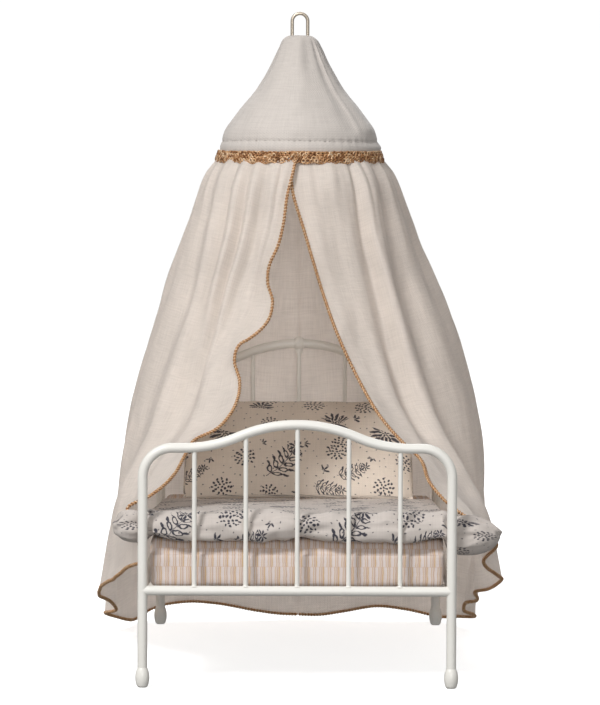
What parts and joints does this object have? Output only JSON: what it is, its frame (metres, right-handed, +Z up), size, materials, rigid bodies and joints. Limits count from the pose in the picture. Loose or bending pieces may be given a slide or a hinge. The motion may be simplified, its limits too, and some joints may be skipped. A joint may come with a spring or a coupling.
{
  "type": "miniature canopy bed",
  "caption": "Miniature metal bed with mattress, quilt and pillow, under a round hanging canopy with long curtains that draw open.",
  "frame": {"origin": "on the floor, below the middle of the whole object's box", "axes": "+Z up, -Y towards the footboard, +X to the right for someone facing the footboard"},
  "size_m": [0.1756, 0.2208, 0.2763],
  "materials": {
    "enamelled_metal": "satin off-white enamel",
    "ticking": "woven cotton ticking",
    "floral_linen": "printed linen",
    "curtain_cotton": "fine cotton voile",
    "gold_trim": "gold thread crochet",
    "hoop_wire": "plain wire",
    "loop_wire": "pale plated wire",
    "stiff_card": "plain card"
  },
  "bodies": {
    "bed_frame": {"foot_back_left": "enamelled_metal", "foot_back_right": "enamelled_metal", "foot_front_left": "enamelled_metal", "foot_front_right": "enamelled_metal", "footboard_bar_1": "enamelled_metal", "footboard_bar_2": "enamelled_metal", "footboard_bar_3": "enamelled_metal", "footboard_bar_4": "enamelled_metal", "footboard_bar_5": "enamelled_metal", "footboard_frame": "enamelled_metal", "footboard_lower_rail": "enamelled_metal", "headboard_bar_1": "enamelled_metal", "headboard_bar_2": "enamelled_metal", "headboard_bar_3": "enamelled_metal", "headboard_bar_4": "enamelled_metal", "headboard_bar_5": "enamelled_metal", "headboard_frame": "enamelled_metal", "headboard_knuckle": "enamelled_metal", "headboard_lower_rail": "enamelled_metal", "side_rail_left": "enamelled_metal", "side_rail_right": "enamelled_metal", "slat_1": "enamelled_metal", "slat_2": "enamelled_metal", "slat_3": "enamelled_metal", "slat_4": "enamelled_metal", "slat_5": "enamelled_metal", "slat_6": "enamelled_metal", "slat_7": "enamelled_metal"},
    "mattress": {"mattress": "ticking", "quilt_foot": "floral_linen"},
    "turn_down": {"quilt_head": "floral_linen"},
    "pillow": {"pillow": "floral_linen"},
    "canopy": {"canopy_hoop": "hoop_wire", "canopy_cone": "curtain_cotton", "canopy_top_disc": "stiff_card", "hanging_loop": "loop_wire", "lace_band": "gold_trim", "lace_knot": "gold_trim", "curtain_heading": "curtain_cotton", "curtain_back": "curtain_cotton"},
    "left_curtain": {"curtain_left": "curtain_cotton", "edging_left": "gold_trim"},
    "right_curtain": {"curtain_right": "curtain_cotton", "edging_right": "gold_trim"}
  },
  "joints": [
    {"name": "mattress_lift", "type": "slide", "parent": "bed_frame", "child": "mattress", "axis": [0, 0, 1], "range_m": [0, 0.004]},
    {"name": "quilt_turn_down", "type": "hinge", "parent": "mattress", "child": "turn_down", "pos_m": [0, 0.0073, 0.0646], "axis": [1, 0, 0], "range_deg": [0, 70]},
    {"name": "pillow_tip", "type": "hinge", "parent": "mattress", "child": "pillow", "pos_m": [0, 0.045, 0.0616], "axis": [1, 0, 0], "range_deg": [0, 45]},
    {"name": "canopy_lift", "type": "slide", "parent": "bed_frame", "child": "canopy", "axis": [0, 0, 1], "range_m": [0, 0.15]},
    {"name": "left_curtain_draw", "type": "hinge", "parent": "canopy", "child": "left_curtain", "pos_m": [-0.05, 0.0425, 0.212], "axis": [-0.1942, 0, -0.981], "range_deg": [0, 20]},
    {"name": "right_curtain_draw", "type": "hinge", "parent": "canopy", "child": "right_curtain", "pos_m": [0.05, 0.0425, 0.212], "axis": [-0.1942, 0, 0.981], "range_deg": [0, 20]}
  ]
}
